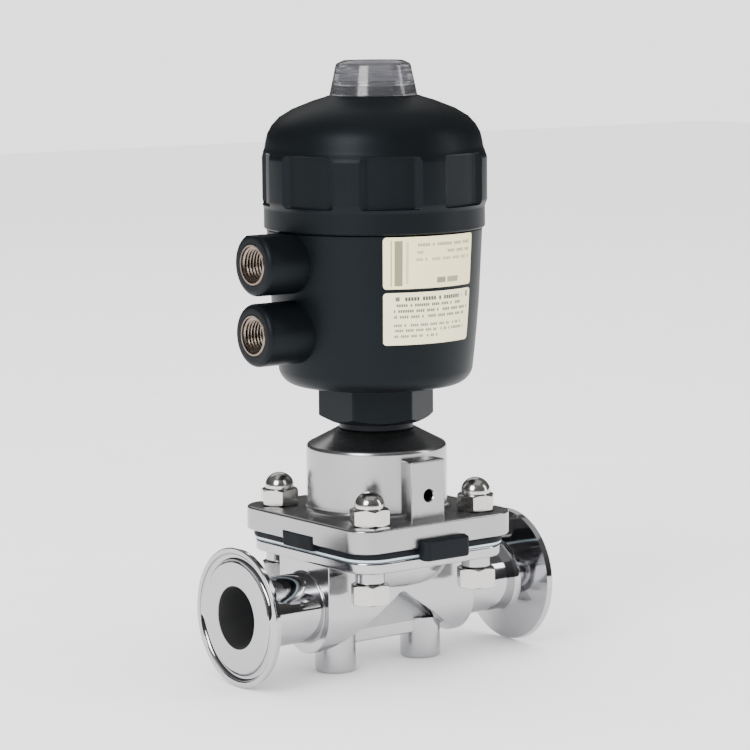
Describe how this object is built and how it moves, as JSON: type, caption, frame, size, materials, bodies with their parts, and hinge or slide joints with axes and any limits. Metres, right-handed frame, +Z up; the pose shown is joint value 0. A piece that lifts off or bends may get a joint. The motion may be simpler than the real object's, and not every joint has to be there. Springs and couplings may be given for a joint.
{
  "type": "pneumatic diaphragm valve",
  "caption": "Weir-type diaphragm valve with clamp pipe ends, bolted square bonnet, black piston actuator with two air ports and a clear position indicator cap.",
  "frame": {"origin": "under the middle of the two feet, on the plane the feet stand on; also the bottom centre of the bounding box", "axes": "+X along the pipe, away from the end the air ports point to; +Z up along the spindle; -Y is the side with the bonnet's weep-hole pad"},
  "size_m": [0.127, 0.0852, 0.222],
  "materials": {
    "stainless_polished": "mirror-polished stainless steel",
    "stainless_satin": "satin stainless steel, fine cast and turned grain",
    "stainless_fastener": "bright machined stainless steel",
    "diaphragm_rubber": "matt black moulded rubber",
    "seal_rubber": "black seal rubber",
    "facing_ptfe": "pale translucent fluoropolymer film",
    "bearing_plastic": "filled bearing plastic",
    "piston_aluminium": "turned aluminium",
    "spring_steel": "oiled spring wire",
    "black_polyamide": "satin glass-filled polyamide",
    "smoked_clear": "smoked clear plastic",
    "indicator_grey": "moulded grey plastic",
    "label_film": "pale printed label film"
  },
  "bodies": {
    "valve": {"valve_body": "stainless_polished", "clamp_stub_1": "stainless_polished", "clamp_stub_2": "stainless_polished", "flange_bolt_1": "stainless_fastener", "flange_bolt_2": "stainless_fastener", "flange_bolt_3": "stainless_fastener", "flange_bolt_4": "stainless_fastener", "cap_nut_1": "stainless_fastener", "cap_nut_2": "stainless_fastener", "cap_nut_3": "stainless_fastener", "cap_nut_4": "stainless_fastener", "bonnet": "stainless_satin", "diaphragm": "diaphragm_rubber", "diaphragm_facing": "facing_ptfe", "adapter_nipple": "stainless_fastener", "spindle_bush": "bearing_plastic", "wiper_ring": "seal_rubber"},
    "spindle_train": {"compressor": "stainless_satin", "diaphragm_stud": "stainless_fastener", "compressor_pin": "stainless_fastener", "spindle": "stainless_polished", "piston": "piston_aluminium", "piston_seal": "seal_rubber", "piston_guide_ring": "bearing_plastic", "spring_seat": "stainless_satin", "piston_nut": "stainless_fastener", "position_indicator": "indicator_grey"},
    "actuator": {"lower_housing": "black_polyamide", "upper_cap": "black_polyamide", "housing_o_ring": "seal_rubber", "seal_retainer": "stainless_satin", "spindle_seal": "seal_rubber", "port_insert_upper": "stainless_fastener", "port_insert_lower": "stainless_fastener", "indicator_cap": "smoked_clear", "indicator_cap_seal": "seal_rubber", "outer_spring": "spring_steel", "inner_spring": "spring_steel", "rating_label": "label_film", "notice_label": "label_film"}
  },
  "joints": [
    {"name": "lift", "type": "slide", "parent": "valve", "child": "spindle_train", "axis": [0, 0, 1], "range_m": [0, 0.008], "stiffness_N_per_m": 1000, "springref_m": -0.001, "deforming": ["outer_spring", "inner_spring", "diaphragm", "diaphragm_facing"]},
    {"name": "actuator_swivel", "type": "hinge", "parent": "valve", "child": "actuator", "pos_m": [0, 0, 0.0909], "axis": [0, 0, 1], "continuous": true}
  ]
}
